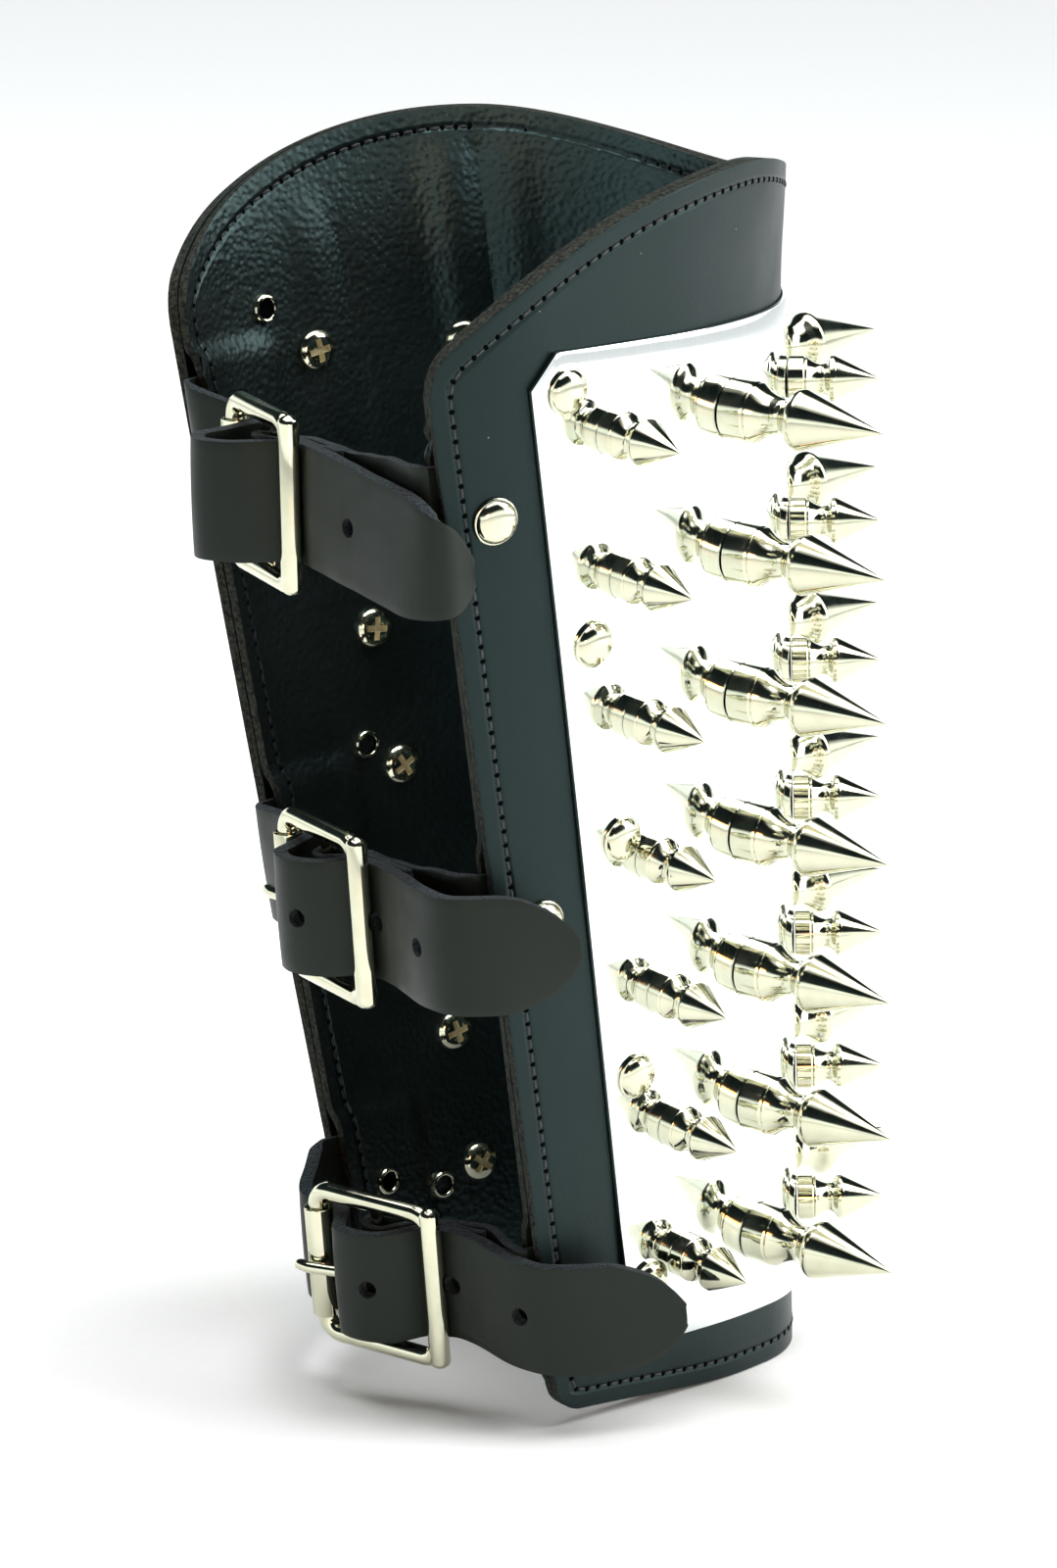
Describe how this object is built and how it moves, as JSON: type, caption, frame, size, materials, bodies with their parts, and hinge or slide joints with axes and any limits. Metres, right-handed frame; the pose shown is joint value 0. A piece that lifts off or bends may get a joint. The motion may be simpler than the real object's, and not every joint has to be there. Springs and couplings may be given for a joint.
{
  "type": "spiked leather bracer",
  "caption": "Forearm guard: a two-ply leather shell with a riveted spiked metal plate, open at the inner arm and closed there by buckled straps.",
  "frame": {"origin": "on the floor under the middle of the whole piece's box, with the bracer standing on its wrist end", "axes": "+Z from the wrist end to the elbow end, -Y through the front line of the spiked plate, +Y through the buckled opening at the inner arm, +X to the flap that the long straps come from"},
  "size_m": [0.1702, 0.1854, 0.2736],
  "materials": {
    "smooth_leather": "smooth black, satin sheen",
    "lining_leather": "pebbled black, glossy",
    "strap_leather": "dark grey-brown satin, fuzzy edges",
    "bright_nickel": "bright nickel plate",
    "mirror_metal": "mirror polished"
  },
  "bodies": {
    "root": {"leather_outer": "smooth_leather", "leather_lining": "lining_leather", "plate_and_short_spikes": "mirror_metal", "long_spike_centre_1": "bright_nickel", "long_spike_centre_2": "bright_nickel", "long_spike_centre_3": "bright_nickel", "long_spike_centre_4": "bright_nickel", "long_spike_centre_5": "bright_nickel", "long_spike_centre_6": "bright_nickel", "long_spike_centre_7": "bright_nickel", "long_spike_left_1": "bright_nickel", "long_spike_left_2": "bright_nickel", "long_spike_left_3": "bright_nickel", "long_spike_left_4": "bright_nickel", "long_spike_left_5": "bright_nickel", "long_spike_left_6": "bright_nickel", "long_spike_left_7": "bright_nickel", "long_spike_right_1": "bright_nickel", "long_spike_right_2": "bright_nickel", "long_spike_right_3": "bright_nickel", "long_spike_right_4": "bright_nickel", "long_spike_right_5": "bright_nickel", "long_spike_right_6": "bright_nickel", "long_spike_right_7": "bright_nickel", "plate_rivet_left_1": "bright_nickel", "plate_rivet_left_2": "bright_nickel", "plate_rivet_left_3": "bright_nickel", "plate_rivet_left_4": "bright_nickel", "plate_rivet_left_5": "bright_nickel", "strap_rivet_left_top": "bright_nickel", "strap_rivet_left_middle": "bright_nickel", "strap_rivet_left_bottom": "bright_nickel", "plate_rivet_right_1": "bright_nickel", "plate_rivet_right_2": "bright_nickel", "plate_rivet_right_3": "bright_nickel", "plate_rivet_right_4": "bright_nickel", "plate_rivet_right_5": "bright_nickel", "strap_rivet_right_top": "bright_nickel", "strap_rivet_right_middle": "bright_nickel", "strap_rivet_right_bottom": "bright_nickel", "buckle_frame_top": "bright_nickel", "buckle_roller_top": "bright_nickel", "buckle_prong_top": "bright_nickel", "tail_strap_top": "strap_leather", "billet_strap_top": "strap_leather", "buckle_frame_middle": "bright_nickel", "buckle_roller_middle": "bright_nickel", "buckle_prong_middle": "bright_nickel", "tail_strap_middle": "strap_leather", "billet_strap_middle": "strap_leather", "buckle_frame_bottom": "bright_nickel", "buckle_roller_bottom": "bright_nickel", "buckle_prong_bottom": "bright_nickel", "tail_strap_bottom": "strap_leather", "billet_strap_bottom": "strap_leather"}
  },
  "joints": []
}
